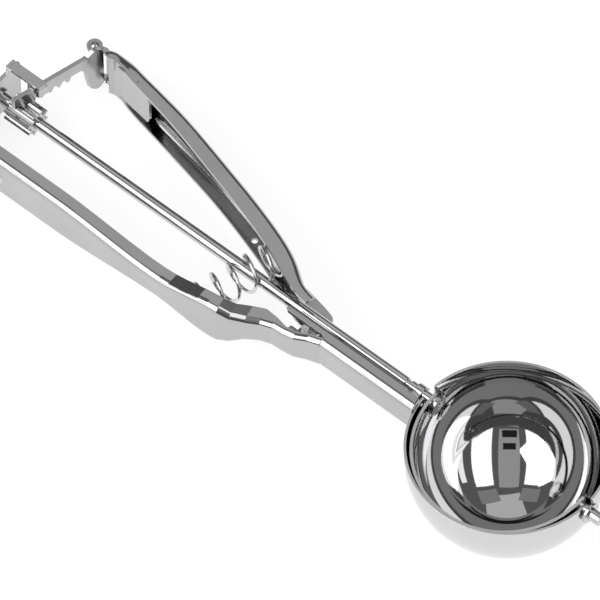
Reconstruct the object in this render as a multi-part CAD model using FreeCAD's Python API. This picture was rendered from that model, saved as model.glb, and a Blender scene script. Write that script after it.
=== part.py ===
import FreeCAD, Part
import math
import os

# Lever ice cream scoop: a round bowl on a channel-shaped neck, a fixed handle, a squeeze lever, and
# a rack and pinion that turn the spindle, whose scraper blade sweeps the bowl. Sizes in millimetres.
# Working frame: the spindle's axis is X, with +X towards the bowl, +Y towards the lever and +Z out
# of the bowl's mouth. The bowl's centre is the origin. Every piece is laid down at the end, so that
# the finished part lies on its bowl and its rear bracket.

# Bowl
bowl_radius = 31.0
bowl_wall = 0.8
rim_height = 4.0
rear_notch_width = 5.6

# Spindle and its bearings
spindle_radius = 2.0
running_clearance = 0.05
spindle_overhang = 2.4
end_cap_gap = 0.3
bush_flange_radius = 4.0
bush_flange_thickness = 0.8
bush_barrel_radius = 3.0
bush_barrel_overhang = 1.0
end_cap_radius = 3.4
end_cap_thickness = 1.5
front_bush_setback = 4.2  # from the bowl
front_bush_length = 2.6
front_bush_radius = 2.7
front_bush_foot = 2.0
spindle_groove_setback = 8.2  # from the bowl
spindle_groove_length = 1.6
spindle_groove_radius = 1.5

# Scraper blade
blade_gap = 0.9
blade_thickness = 1.0
blade_half_width = 4.3
blade_rest_dip = 6.0
blade_chamfer = 0.3
hub_radius = 3.3
hub_thickness = 1.6
front_pin_overhang = 5.0
front_pin_head_radius = 2.6
front_pin_head_thickness = 1.2
front_washer_radius = 3.4
front_washer_thickness = 0.8
front_washer_gap = 0.5

# Rack and pinion
module = 1.0
pinion_teeth = 8
pressure_angle = math.radians(25)
pinion_addendum = 0.8
rack_addendum = 0.7
root_clearance = 0.3
tooth_backlash = 0.2
pinion_rear_x = -196.0
pinion_length = 10.0
rack_thickness = 1.4
rack_back = 9.5
rack_tail = 3.4
rack_mesh_x = -192.05
rack_strip_end = 21.0
rack_plain_end = 2.0
rack_head_end = 28.6
rack_head_top = 11.2
rack_head_bottom = -9.4
rack_head_rounding = 1.6

# Rack hinge at the lever's tail
rack_pin_x = -187.8
rack_pin_y = 28.4
rack_pin_radius = 1.3
rack_pin_dome = 0.6
clevis_radius = 2.5
clevis_thickness = 1.1
clevis_gap = 0.3
pin_washer_radius = 1.7
pin_washer_thickness = 0.5
tail_ear_radius = 1.7
tail_bridge_gap = 0.5
tail_bridge_overlap = 2.0

# Sheet metal
sheet = 1.1
handle_sheet = 1.2
fold_radius = 2.4
lever_station_count = 24
handle_station_count = 36
handle_lean_limit = math.radians(14)

# Neck
neck_seam_x = -66.0
neck_web_y = -9.5
neck_edge_y = -4.0
neck_inset = 1.4  # each side, below the lever's flanges
neck_fold_radius = 3.0
neck_edge_drop = 0.3
neck_front_step_x = -36.0
neck_front_step_y = -5.0
arm_tip_x = -81.5
arm_inner_y = -6.2
arm_tip_radius = 0.9
arm_lug_radius = 2.7

# Lever pivot
pivot_x = -75.0
pivot_y = -5.0
pivot_radius = 1.3
pivot_pin_top = 0.8
pivot_pin_head_radius = 2.0
pivot_pin_head = 0.7
ear_thickness = 1.1
ear_gap = 0.35
ear_rear_x = -94.0
ear_front_x = -70.6
ear_front_y = 4.6
ear_corner_radius = 3.4
ear_end_radius = 2.6
lower_ear_rear_y = 5.0
upper_ear_rear_x = -91.0
upper_ear_rear_y = 4.0
squeeze_range = 5.9

# Fixed handle: its web's outer face and its height along the spindle
handle_web_y = -23.3
handle_flange = 5.3
handle_rear_x = -197.0
handle_rear_half_height = 8.2
grip_rear_x = -160.0
grip_x = -119.0
grip_half_height = 5.1
finger_stop_x = -97.5
finger_stop_half_height = 8.6
waist_x = -87.0
waist_half_height = 5.4
waist_flange = 6.2
shoulder_x = -78.0
shoulder_flange = 2.9

# Squeeze lever
lever_half_height = 7.6
lever_grip_half_height = 9.1
lever_grip_rear_x = -170.0
lever_grip_front_x = -153.0
lever_slim_x = -124.0
lever_tail_x = -184.8
lever_tail_y = 30.9
lever_crest_x = -180.0
lever_crest_y = 32.3
lever_back_x = -168.4
lever_back_y = 30.4
lever_bow_x = -149.8
lever_bow_y = 27.0
lever_middle_x = -125.3
lever_middle_y = 21.2
lever_front_x = -106.5
lever_front_y = 15.7
lever_bend_x = -93.7
lever_bend_y = 10.9
lever_nose_x = -77.0
lever_nose_y = 2.6
lever_tail_flange = 1.9
lever_crest_flange = 4.2
lever_flange = 5.6
lever_front_flange = 6.3
lever_nose_flange = 4.0
lever_web_end_x = -84.2
drain_hole_radius = 1.0
drain_hole_spots = ((-180.5, 29.6), (-110.5, 13.2))
liner_depth = 3.4
liner_thickness = 1.0
liner_front_x = -163.0
liner_rear_x = -181.5
liner_end_radius = 6.0

# Rear bracket and rack guide
bracket_sheet = 1.2
bracket_wall_x = -201.0
bracket_half_height = 8.3
bracket_bend_radius = 7.0
bracket_leg_x = -178.0
bracket_leg_half_height = 5.6
bracket_leg_end_gap = 0.4
bracket_rivet_inset = 4.0
bracket_rivet_pitch = 8.0
bracket_edge_y = 9.0
bracket_rivet_radius = 1.5
bracket_rivet_head_radius = 2.3
bracket_rivet_head = 0.7
guide_rear_y = 3.8
guide_front_y = 7.2
guide_side_gap = 0.4
guide_roof_gap = 0.4
guide_sheet = 1.1
guide_leg_bottom = 6.4

# Return spring
spring_wire = 1.2
spring_mean_radius = 5.4
spring_pitch = 6.0
spring_end_pitch = 1.75
spring_ramp_turns = 0.5
spring_end_turns = 0.75
spring_crossing_x = -101.0
spring_handle_end = -20.1
spring_lever_end = 9.4
seat_radius = 6.1
seat_boss_radius = 4.3
seat_boss_height = 1.6
seat_backing = 4.5

Vector = FreeCAD.Vector
up = Vector(0, 0, 1)
along = Vector(1, 0, 0)

neck_half_height = lever_half_height - neck_inset
front_bush_x = -bowl_radius - front_bush_setback
spindle_groove_x = -bowl_radius - spindle_groove_setback
pitch_radius = module * pinion_teeth / 2
blade_outer_radius = bowl_radius - bowl_wall - blade_gap
blade_inner_radius = blade_outer_radius - blade_thickness
pivot = Vector(pivot_x, pivot_y, 0)
rack_pin = Vector(rack_pin_x, rack_pin_y, 0)

# The rack pin swings about the pivot. The rack slides along the middle direction of that arc.
pin_arm = math.hypot(rack_pin_x - pivot_x, rack_pin_y - pivot_y)
pin_angle = math.degrees(math.atan2(rack_pin_y - pivot_y, pivot_x - rack_pin_x))
pin_sine_change = math.sin(math.radians(pin_angle)) - math.sin(math.radians(pin_angle - squeeze_range))
rack_travel = pin_arm * pin_sine_change
rack_slant = math.radians(pin_angle - squeeze_range / 2)
spindle_ratio = rack_travel / pitch_radius / math.radians(squeeze_range)


def line(a, b):
    return Part.LineSegment(a, b).toShape()


def flat(u, v):
    return Vector(u, v, 0)


def rounded_wire(corners, place=flat):
    """Closed outline through corners (u, v, radius), each rounded by its radius."""
    points = [Vector(u, v, 0) for u, v, r in corners]
    ends = []
    edges = []
    for i, (u, v, radius) in enumerate(corners):
        corner = points[i]
        back = (points[i - 1] - corner).normalize()
        ahead = (points[(i + 1) % len(points)] - corner).normalize()
        if radius == 0:
            ends.append((corner, corner))
            continue
        half = back.getAngle(ahead) / 2
        start = corner + back * (radius / math.tan(half))
        stop = corner + ahead * (radius / math.tan(half))
        middle = corner + (back + ahead).normalize() * (radius / math.sin(half) - radius)
        ends.append((start, stop))
        arc = Part.Arc(place(start.x, start.y), place(middle.x, middle.y), place(stop.x, stop.y))
        edges.append(arc.toShape())
    for i, (start, stop) in enumerate(ends):
        before = ends[i - 1][1]
        if before.distanceToPoint(start) > 1e-6:
            edges.append(line(place(before.x, before.y), place(start.x, start.y)))
    return Part.Wire(Part.__sortEdges__(edges))


def plate(corners, bottom, top):
    """Flat plate from a rounded outline in plan, between two heights."""
    face = Part.Face(rounded_wire(corners, lambda u, v: Vector(u, v, bottom)))
    return face.extrude(Vector(0, 0, top - bottom))


def box(x0, x1, y0, y1, z0, z1):
    return Part.makeBox(x1 - x0, y1 - y0, z1 - z0, Vector(x0, y0, z0))


def rod(start, stop, radius):
    return Part.makeCylinder(radius, start.distanceToPoint(stop), start, stop - start)


def shaft(x0, x1, radius):
    """Cylinder on the spindle's axis."""
    return rod(Vector(x0, 0, 0), Vector(x1, 0, 0), radius)


def upright(centre, z0, z1, radius):
    """Vertical cylinder over a point of the plan."""
    return rod(Vector(centre.x, centre.y, z0), Vector(centre.x, centre.y, z1), radius)


def both_sides(solid):
    """A piece's upper half and its mirror image below the spindle's plane."""
    return solid, solid.mirror(Vector(0, 0, 0), up)


def headings(stations):
    """Direction of a plan path at each station, from its neighbours."""
    angles = []
    for i in range(len(stations)):
        before = stations[max(i - 1, 0)]
        after = stations[min(i + 1, len(stations) - 1)]
        angles.append(math.atan2(after[1] - before[1], after[0] - before[0]))
    return angles


def channel(stations, side, thickness, radius, angles, ruled=False):
    """U-channel whose web's outer face follows stations (x, y, half height, flange depth).

    A ruled one runs straight from station to station.
    """
    wires = []
    for (x, y, half, depth), angle in zip(stations, angles):
        outward = Vector(-math.sin(angle), math.cos(angle), 0) * side
        foot = Vector(x, y, 0)
        corners = [
            (-depth, half, 0),
            (0, half, radius),
            (0, -half, radius),
            (-depth, -half, 0),
            (-depth, thickness - half, 0),
            (-thickness, thickness - half, radius - thickness),
            (-thickness, half - thickness, radius - thickness),
            (-depth, half - thickness, 0),
        ]
        wires.append(rounded_wire(corners, lambda u, v: foot + outward * u + up * v))
    return Part.makeLoft(wires, True, ruled, False, 3)


def bowl_body(radius):
    """Half ball with a cylindrical band above it, as a full solid."""
    ball = Part.makeSphere(radius, Vector(0, 0, 0), up, -90, 0, 360)
    band = Part.makeCylinder(radius, rim_height, Vector(0, 0, 0), up)
    return ball.fuse(band).removeSplitter()


def notch(width, x0, x1):
    """Slot that is open at the rim and ends in a half round below the spindle's axis."""
    slot = box(x0, x1, -width / 2, width / 2, 0, rim_height + 1)
    return slot.fuse(shaft(x0, x1, width / 2))


def make_bowl():
    shell = bowl_body(bowl_radius).cut(bowl_body(bowl_radius - bowl_wall))
    rear = notch(rear_notch_width, -bowl_radius - 1, -bowl_radius / 2)
    front = notch(2 * (spindle_radius + running_clearance), bowl_radius / 2, bowl_radius + 1)
    return shell.cut(rear).cut(front)


def neck_profile(x):
    """Channel section of the neck, open towards the lever, with flanges that droop at their edge."""
    start = neck_web_y + neck_fold_radius
    run = neck_edge_y - start
    half = neck_half_height
    crown_radius = (run * run + neck_edge_drop * neck_edge_drop) / (2 * neck_edge_drop)

    def crown(y, offset):
        drop = crown_radius - math.sqrt(crown_radius ** 2 - (y - start) ** 2)
        return half - offset - drop

    def fold(angle, offset, sign):
        reach = neck_fold_radius - offset
        y = start - reach * math.cos(angle)
        z = half - neck_fold_radius + reach * math.sin(angle)
        return Vector(x, y, sign * z)

    edges = []
    for offset in (0, handle_sheet):
        for sign in (1, -1):
            tip = Vector(x, neck_edge_y, sign * crown(neck_edge_y, offset))
            halfway = start + run / 2
            mid = Vector(x, halfway, sign * crown(halfway, offset))
            root = Vector(x, start, sign * (half - offset))
            edges.append(Part.Arc(tip, mid, root).toShape())
            corner = [fold(angle, offset, sign) for angle in (math.pi / 2, math.pi / 4, 0)]
            edges.append(Part.Arc(*corner).toShape())
        edges.append(line(fold(0, offset, 1), fold(0, offset, -1)))
    for sign in (1, -1):
        outer = Vector(x, neck_edge_y, sign * crown(neck_edge_y, 0))
        inner = Vector(x, neck_edge_y, sign * crown(neck_edge_y, handle_sheet))
        edges.append(line(outer, inner))
    return Part.Face(Part.Wire(Part.__sortEdges__(edges)))


def make_neck():
    """Neck channel with two arms that reach back over the lever's ears."""
    length = -bowl_radius / 2 - arm_tip_x
    channel_solid = neck_profile(arm_tip_x).extrude(along * length)
    tall = neck_half_height + 1
    behind_web = box(arm_tip_x - 1, neck_seam_x, neck_web_y - 1, arm_inner_y, -tall, tall)
    front_relief = box(neck_front_step_x, 0, neck_front_step_y, 1, -tall, tall)
    arms = plate(
        [
            (arm_tip_x, arm_inner_y, arm_tip_radius),
            (arm_tip_x, neck_edge_y, arm_tip_radius),
            (0, neck_edge_y, 0),
            (0, neck_web_y, 0),
            (neck_seam_x, neck_web_y, 0),
            (neck_seam_x, arm_inner_y, 0),
        ],
        -tall,
        tall,
    )
    seat = bowl_body(bowl_radius).fuse(Part.makeCylinder(bowl_radius, tall, Vector(0, 0, 0), up))
    neck = channel_solid.common(arms).cut(behind_web).cut(front_relief).cut(seat)
    lug = upright(pivot, -neck_half_height, handle_sheet - neck_half_height, arm_lug_radius)
    return neck.fuse(lug).removeSplitter().cut(upright(pivot, -tall, 0, pivot_radius))


def make_front_bush():
    """Round bearing in the neck, on a straight foot that stands on the neck's web."""
    stop = front_bush_x + front_bush_length
    web = neck_web_y + handle_sheet
    block = box(front_bush_x, stop, web, 0, -front_bush_foot, front_bush_foot)
    barrel = shaft(front_bush_x, stop, front_bush_radius)
    bore = shaft(front_bush_x - 1, stop + 1, spindle_radius + running_clearance)
    return block.fuse(barrel).removeSplitter().cut(bore)


def value_through(keys, x):
    """Smooth value at x through (x, value) keys, level where the keys turn."""
    slopes = []
    for i in range(len(keys)):
        before = keys[max(i - 1, 0)]
        here = keys[i]
        after = keys[min(i + 1, len(keys) - 1)]
        turns = (here[1] - before[1]) * (after[1] - here[1]) <= 0
        slopes.append(0 if turns else (after[1] - before[1]) / (after[0] - before[0]))
    last = len(keys) - 2
    i = next((i for i in range(last) if x <= keys[i + 1][0]), last)
    width = keys[i + 1][0] - keys[i][0]
    t = (x - keys[i][0]) / width
    rise = t * t * (3 - 2 * t)
    start = t * (1 - t) ** 2 * width * slopes[i]
    stop = t * t * (t - 1) * width * slopes[i + 1]
    return keys[i][1] * (1 - rise) + keys[i + 1][1] * rise + start + stop


def stations_between(x0, x1, count, web, half, depth):
    """Even stations (x, y, half height, flange depth) along a handle from three sets of keys."""
    stations = []
    for i in range(count):
        x = x0 + (x1 - x0) * i / (count - 1)
        stations.append((x, value_through(web, x), value_through(half, x), value_through(depth, x)))
    return stations


def handle_stations():
    """Fixed handle from its rear end to the neck's seam."""
    drop = neck_web_y - handle_web_y
    web = [
        (handle_rear_x, handle_web_y),
        (grip_rear_x, handle_web_y),
        (grip_x, handle_web_y + 0.02 * drop),
        (finger_stop_x, handle_web_y + 0.1 * drop),
        (waist_x - 5.0, handle_web_y + 0.22 * drop),
        (waist_x, handle_web_y + 0.5 * drop),
        (waist_x + 5.0, handle_web_y + 0.68 * drop),
        (shoulder_x, handle_web_y + 0.71 * drop),
        (shoulder_x + 4.0, handle_web_y + 0.75 * drop),
        (neck_seam_x - 3.0, handle_web_y + 0.93 * drop),
        (neck_seam_x, neck_web_y),
    ]
    half = [
        (handle_rear_x, handle_rear_half_height),
        (grip_rear_x, handle_rear_half_height),
        (grip_x, grip_half_height),
        (finger_stop_x, finger_stop_half_height),
        (waist_x, waist_half_height),
        (shoulder_x, waist_half_height + 0.1),
        (neck_seam_x, neck_half_height),
    ]
    depth = [
        (handle_rear_x, handle_flange),
        (finger_stop_x, handle_flange),
        (waist_x, waist_flange),
        (shoulder_x, shoulder_flange),
        (neck_seam_x, fold_radius + 0.2),
    ]
    return stations_between(handle_rear_x, neck_seam_x, handle_station_count, web, half, depth)


def make_main_handle():
    stations = handle_stations()
    angles = [min(angle, handle_lean_limit) for angle in headings(stations)]
    angles[0] = 0
    angles[-1] = 0
    body = channel(stations, -1, handle_sheet, fold_radius, angles, ruled=True)
    return body.cut(bracket_rivet_holes())


def lever_stations():
    """Squeeze lever from its tail to its nose."""
    web = [
        (lever_tail_x, lever_tail_y),
        (lever_crest_x, lever_crest_y),
        (lever_back_x, lever_back_y),
        (lever_bow_x, lever_bow_y),
        (lever_middle_x, lever_middle_y),
        (lever_front_x, lever_front_y),
        (lever_bend_x, lever_bend_y),
        (lever_nose_x, lever_nose_y),
    ]
    half = [
        (lever_tail_x, lever_half_height),
        (lever_grip_rear_x, lever_grip_half_height),
        (lever_grip_front_x, lever_grip_half_height),
        (lever_slim_x, lever_half_height),
        (lever_nose_x, lever_half_height),
    ]
    depth = [
        (lever_tail_x, lever_tail_flange),
        (lever_crest_x, lever_crest_flange),
        (lever_bow_x, lever_flange),
        (lever_bend_x, lever_front_flange),
        (lever_nose_x, lever_nose_flange),
    ]
    return stations_between(lever_tail_x, lever_nose_x, lever_station_count, web, half, depth)


def lever_shell():
    """Lever channel, without its web beside the pivot, where the spindle passes."""
    stations = lever_stations()
    shell = channel(stations, 1, sheet, fold_radius, headings(stations))
    inner = lever_half_height - sheet
    return shell.cut(box(lever_web_end_x, 0, -30, 60, -inner, inner))


def tail_ears():
    """Upper ear that carries the rack pin behind the lever's tail, before it is mirrored."""
    inner = lever_half_height - sheet
    bridge_y = rack_head_end + tail_bridge_gap
    bridge = plate(
        [
            (lever_tail_x + tail_bridge_overlap, bridge_y, 0),
            (lever_tail_x + tail_bridge_overlap, lever_tail_y - sheet / 2, 0),
            (lever_tail_x, lever_tail_y, 0),
            (rack_pin_x, rack_pin_y + tail_ear_radius, 0),
            (rack_pin_x, rack_pin_y, 0),
            (rack_pin_x + tail_ear_radius * 0.7, bridge_y, 0),
        ],
        inner,
        lever_half_height,
    )
    return bridge.fuse(upright(rack_pin, inner, lever_half_height, tail_ear_radius))


def make_lever():
    body = lever_shell().fuse(list(both_sides(tail_ears()))).removeSplitter()
    tall = lever_half_height + 1
    body = body.cut(upright(rack_pin, -tall, tall, rack_pin_radius))
    for x, y in drain_hole_spots:
        body = body.cut(upright(Vector(x, y, 0), -tall, 0, drain_hole_radius))
    return body


def make_lever_liner():
    """Strip across the lever's tail between its flanges, with a rounded front end."""
    stations = [s for s in lever_stations() if s[0] < liner_front_x + 5]
    angles = headings(lever_stations())
    inner_line = []
    outer_line = []
    for (x, y, half, depth), angle in zip(stations, angles):
        inward = Vector(math.sin(angle), -math.cos(angle), 0)
        outer_line.append(Vector(x, y, 0) + inward * liner_depth)
        inner_line.append(Vector(x, y, 0) + inward * (liner_depth + liner_thickness))
    tall = lever_grip_half_height
    rim = outer_line + inner_line[::-1]
    outline = Part.makePolygon([p - up * tall for p in rim + rim[:1]])
    strip = Part.Face(outline).extrude(up * (2 * tall))
    side = [
        (liner_rear_x, -tall, 0),
        (liner_front_x, -tall, liner_end_radius),
        (liner_front_x, tall, liner_end_radius),
        (liner_rear_x, tall, 0),
    ]
    window = Part.Face(rounded_wire(side, lambda u, v: Vector(u, 0, v))).extrude(Vector(0, 60, 0))
    strip = strip.common(window).cut(lever_shell())
    return min(strip.Solids, key=lambda piece: abs(piece.CenterOfMass.z))


def ear_outline(rear_x, rear_y):
    """Plan of a hinge ear: from the lever's nose across the spindle's line to the pivot."""
    reach = ear_end_radius
    return [
        (rear_x, rear_y, 1.0),
        (rear_x, rear_y + 5.0, 0.5),
        (ear_front_x - 6.0, ear_front_y + 1.6, 6.0),
        (ear_front_x, ear_front_y, ear_corner_radius),
        (pivot_x + reach, pivot_y, 0),
        (pivot_x + reach, pivot_y - reach, reach),
        (pivot_x - reach, pivot_y - reach, reach),
        (pivot_x - reach, pivot_y + 3.0, 2.0),
        (pivot_x - 9.0, pivot_y + 6.5, 4.0),
    ]


def make_upper_ear():
    """Ear inside the lever, joined to its web, that passes under the spindle to the pivot."""
    top = -spindle_radius - ear_gap
    ear = plate(ear_outline(upper_ear_rear_x, upper_ear_rear_y), top - ear_thickness, top)
    ear = ear.cut(upright(pivot, -20, 20, pivot_radius + running_clearance))
    pieces = ear.cut(lever_shell()).Solids
    return min(pieces, key=lambda piece: piece.CenterOfMass.y)


def make_lower_ear():
    """Ear under the lever's lower flange that reaches the pin below the neck."""
    top = -lever_half_height
    ear = plate(ear_outline(ear_rear_x, lower_ear_rear_y), top - ear_thickness, top)
    ear = ear.cut(upright(pivot, -20, 20, pivot_radius + running_clearance))
    return ear.cut(lever_shell())


def make_pivot_pin():
    """Pin in the neck's lower arm, with a head under the lower ear and an end beside the spindle."""
    low = -lever_half_height - ear_thickness - running_clearance
    stem = upright(pivot, low, pivot_pin_top, pivot_radius)
    head = upright(pivot, low - pivot_pin_head, low, pivot_pin_head_radius)
    return stem.fuse(head).removeSplitter()


def involute(radius):
    """Involute function at a radius of the pinion."""
    base = pitch_radius * math.cos(pressure_angle)
    angle = math.acos(min(1, base / radius))
    return math.tan(angle) - angle


def pinion_half_angle(radius):
    """Half of a pinion tooth's angle at a radius."""
    half_thickness = (math.pi * module / 2 - tooth_backlash) / 2
    return half_thickness / pitch_radius + involute(pitch_radius) - involute(radius)


def make_pinion():
    base = pitch_radius * math.cos(pressure_angle)
    root = pitch_radius - rack_addendum - root_clearance
    tip = pitch_radius + pinion_addendum
    middle = (base + tip) / 2
    step = 2 * math.pi / pinion_teeth

    def spot(radius, angle):
        return Vector(pinion_rear_x, radius * math.cos(angle), radius * math.sin(angle))

    edges = []
    for tooth in range(pinion_teeth):
        centre = math.pi / 2 + step * (tooth + 0.5)
        foot = pinion_half_angle(base)
        for side in (-1, 1):
            start = spot(root, centre + side * foot)
            edges.append(line(start, spot(base, centre + side * foot)))
            flank = [spot(r, centre + side * pinion_half_angle(r)) for r in (base, middle, tip)]
            edges.append(Part.Arc(*flank).toShape())
        crest = pinion_half_angle(tip)
        edges.append(Part.Arc(*[spot(tip, centre + a) for a in (-crest, 0, crest)]).toShape())
        valley = [spot(root, centre + a) for a in (foot, step / 2, step - foot)]
        edges.append(Part.Arc(*valley).toShape())
    face = Part.Face(Part.Wire(Part.__sortEdges__(edges)))
    return face.extrude(along * pinion_length).cut(spindle_rod())


def slanted(offset, reach):
    """Plan point on the rack's line: distance along it from the mesh, and sideways offset."""
    direction = Vector(math.sin(rack_slant), math.cos(rack_slant), 0)
    sideways = Vector(math.cos(rack_slant), -math.sin(rack_slant), 0)
    return Vector(rack_mesh_x, 0, 0) + direction * reach + sideways * offset


def slanted_slab(inner, outer, low, high):
    """Upright slab along the rack's line, between two sideways offsets."""
    long = 60
    corners = [slanted(inner, -long), slanted(outer, -long), slanted(outer, long), slanted(inner, long)]
    return plate([(p.x, p.y, 0) for p in corners], low, high)


def rack_outline():
    """Side view of the rack: teeth below, straight back above, wide hinge plate at its end."""
    pitch = math.pi * module
    tip = pitch_radius - rack_addendum
    root = pitch_radius + pinion_addendum + root_clearance
    half = (pitch / 2 - tooth_backlash) / 2
    slope = math.tan(pressure_angle)
    tip_half = half - rack_addendum * slope
    root_half = half + (root - pitch_radius) * slope
    points = [(-rack_tail, rack_back), (-rack_tail, root)]
    tooth = math.ceil((root_half - rack_tail) / pitch)
    while tooth * pitch + root_half < rack_strip_end - rack_plain_end:
        y = tooth * pitch
        points += [(y - root_half, root), (y - tip_half, tip), (y + tip_half, tip), (y + root_half, root)]
        tooth += 1
    return points, root


def make_rack():
    points, root = rack_outline()
    head = [
        (rack_strip_end, root),
        (rack_strip_end + 1.4, 1.5),
        (rack_strip_end + 2.8, rack_head_bottom + 2.6),
        (rack_head_end - 2.2, rack_head_bottom),
        (rack_head_end, rack_head_bottom + 2.0),
        (rack_head_end, rack_back),
        (rack_head_end - 2.6, rack_head_top),
        (rack_strip_end + 1.6, rack_back),
    ]
    radii = [1.6, 3.0, 2.2, 1.4, 0.8, 0.8, 1.2, 2.0]
    corners = [(y, z, 0) for y, z in points] + [(y, z, r) for (y, z), r in zip(head, radii)]
    rear = rack_mesh_x - 30
    face = Part.Face(rounded_wire(corners, lambda u, v: Vector(rear, u, v)))
    half = rack_thickness / 2
    blade = face.extrude(along * 60).common(slanted_slab(-half, half, -20, 20))
    tabs = []
    low = lever_half_height + clevis_gap
    for bottom in (low, -low - clevis_thickness):
        tabs.append(clevis_tab(bottom, bottom + clevis_thickness))
    solid = blade.fuse(tabs).removeSplitter()
    return solid.cut(upright(rack_pin, -20, 20, rack_pin_radius + running_clearance))


def clevis_tab(bottom, top):
    """Folded tab that carries the rack on its pin."""
    reach = (rack_pin - slanted(0, 0)).dot(slanted(0, 1) - slanted(0, 0))
    offset = (rack_pin - slanted(0, 0)).dot(slanted(1, 0) - slanted(0, 0))
    low_reach = reach - clevis_radius
    high_reach = min(reach + clevis_radius, rack_head_end / math.cos(rack_slant))
    plan = [
        slanted(offset, low_reach),
        slanted(0, low_reach),
        slanted(0, high_reach),
        slanted(offset, high_reach),
    ]
    body = plate([(p.x, p.y, 0) for p in plan], bottom, top)
    return body.fuse(upright(rack_pin, bottom, top, clevis_radius))


def make_rack_pin():
    """Pin through the rack's clevis and the lever's tail ears, closed by domed ends."""
    face = lever_half_height + clevis_gap + clevis_thickness
    stem = upright(rack_pin, -face, face + pin_washer_thickness, rack_pin_radius)
    ball_radius = (rack_pin_radius ** 2 + rack_pin_dome ** 2) / (2 * rack_pin_dome)
    domes = []
    for level, sign in ((face + pin_washer_thickness, 1), (-face, -1)):
        centre = rack_pin + up * (level + sign * (rack_pin_dome - ball_radius))
        ball = Part.makeSphere(ball_radius, centre)
        slab = upright(rack_pin, level, level + rack_pin_dome, ball_radius)
        if sign < 0:
            slab = upright(rack_pin, level - rack_pin_dome, level, ball_radius)
        domes.append(ball.common(slab))
    return stem.fuse(domes).removeSplitter()


def make_rack_pin_washer():
    face = lever_half_height + clevis_gap + clevis_thickness
    disc = upright(rack_pin, face, face + pin_washer_thickness, pin_washer_radius)
    return disc.cut(upright(rack_pin, face - 1, face + 2, rack_pin_radius))


def spindle_rod():
    """Spindle from behind its end cap to the hub's face inside the blade."""
    rear = bracket_wall_x - bracket_sheet - bush_flange_thickness - spindle_overhang
    rod_solid = shaft(rear, hub_rear_x() + hub_thickness, spindle_radius)
    stop = spindle_groove_x + spindle_groove_length
    ring = shaft(spindle_groove_x, stop, spindle_radius + 1)
    return rod_solid.cut(ring.cut(shaft(spindle_groove_x, stop, spindle_groove_radius)))


def make_end_cap():
    """Cap pressed on the spindle's rear end, outside the rear bush."""
    face = bracket_wall_x - bracket_sheet - bush_flange_thickness - end_cap_gap
    cap = shaft(face - end_cap_thickness, face, end_cap_radius)
    return cap.cut(spindle_rod())


def make_rear_bush():
    """Flanged bush in the rear bracket's wall."""
    outside = bracket_wall_x - bracket_sheet
    flange = shaft(outside - bush_flange_thickness, outside, bush_flange_radius)
    barrel = shaft(outside, bracket_wall_x + bush_barrel_overhang, bush_barrel_radius)
    bore = shaft(outside - 5, bracket_wall_x + 5, spindle_radius + running_clearance)
    return flange.fuse(barrel).removeSplitter().cut(bore)


def make_rear_bracket():
    """Bent strip from the fixed handle's web round to the wall that holds the rear bush."""
    t = bracket_sheet
    web = handle_web_y + handle_sheet
    rear = bracket_wall_x - t
    r = bracket_bend_radius
    plan = [
        (bracket_leg_x, web, 0),
        (rear, web, r),
        (rear, bracket_edge_y, 0),
        (bracket_wall_x, bracket_edge_y, 0),
        (bracket_wall_x, web + t, r - t),
        (bracket_leg_x, web + t, 0),
    ]
    strip = plate(plan, -bracket_half_height, bracket_half_height)
    tall = bracket_half_height + 1
    inside = handle_rear_x - bracket_leg_end_gap
    for solid in both_sides(box(inside, 0, handle_web_y, 0, bracket_leg_half_height, tall)):
        strip = strip.cut(solid)
    lug_top = rack_back + guide_roof_gap + guide_sheet
    lug = box(rear, bracket_wall_x, guide_rear_y, guide_front_y, 0, lug_top)
    strip = strip.fuse(lug).removeSplitter()
    return strip.cut(shaft(rear - 1, bracket_wall_x + 1, bush_barrel_radius)).cut(bracket_rivet_holes())


def bracket_rivet_spots():
    """Plan positions of the rivets that join the bracket to the fixed handle."""
    first = bracket_leg_x - bracket_rivet_inset
    return (first, first - bracket_rivet_pitch)


def bracket_rivet_holes():
    holes = []
    for x in bracket_rivet_spots():
        start = Vector(x, handle_web_y - 2, 0)
        holes.append(rod(start, start + Vector(0, 6, 0), bracket_rivet_radius))
    return Part.makeCompound(holes)


def make_bracket_rivets():
    """Two rivets with low round heads outside and inside."""
    rivets = []
    outside = handle_web_y
    inside = handle_web_y + handle_sheet + bracket_sheet
    r = bracket_rivet_head_radius
    ball_radius = (r * r + bracket_rivet_head ** 2) / (2 * bracket_rivet_head)
    for x in bracket_rivet_spots():
        stem = rod(Vector(x, outside, 0), Vector(x, inside, 0), bracket_rivet_radius)
        heads = []
        for level, sign in ((outside, -1), (inside, 1)):
            centre = Vector(x, level + sign * (bracket_rivet_head - ball_radius), 0)
            tip = Vector(x, level + sign * bracket_rivet_head, 0)
            heads.append(Part.makeSphere(ball_radius, centre).common(rod(Vector(x, level, 0), tip, r)))
        rivets.append(stem.fuse(heads).removeSplitter())
    return Part.makeCompound(rivets)


def make_rack_guide():
    """Folded bridge from the rear bracket over the rack, with a leg on each side of it."""
    roof_low = rack_back + guide_roof_gap
    roof_top = roof_low + guide_sheet
    inner = rack_thickness / 2 + guide_side_gap
    outer = inner + guide_sheet
    front_a = slanted(outer, guide_rear_y / math.cos(rack_slant))
    front_b = slanted(outer, guide_front_y / math.cos(rack_slant))
    roof = plate(
        [
            (bracket_wall_x, guide_rear_y, 0),
            (front_a.x, guide_rear_y, 0.8),
            (front_b.x, guide_front_y, 0.8),
            (bracket_wall_x, guide_front_y, 0),
        ],
        roof_low,
        roof_top,
    )
    window = box(-250, 0, guide_rear_y, guide_front_y, 0, 30)
    legs = []
    for near, far in ((inner, outer), (-outer, -inner)):
        legs.append(slanted_slab(near, far, guide_leg_bottom, roof_low).common(window))
    return roof.fuse(legs).removeSplitter()


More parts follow.
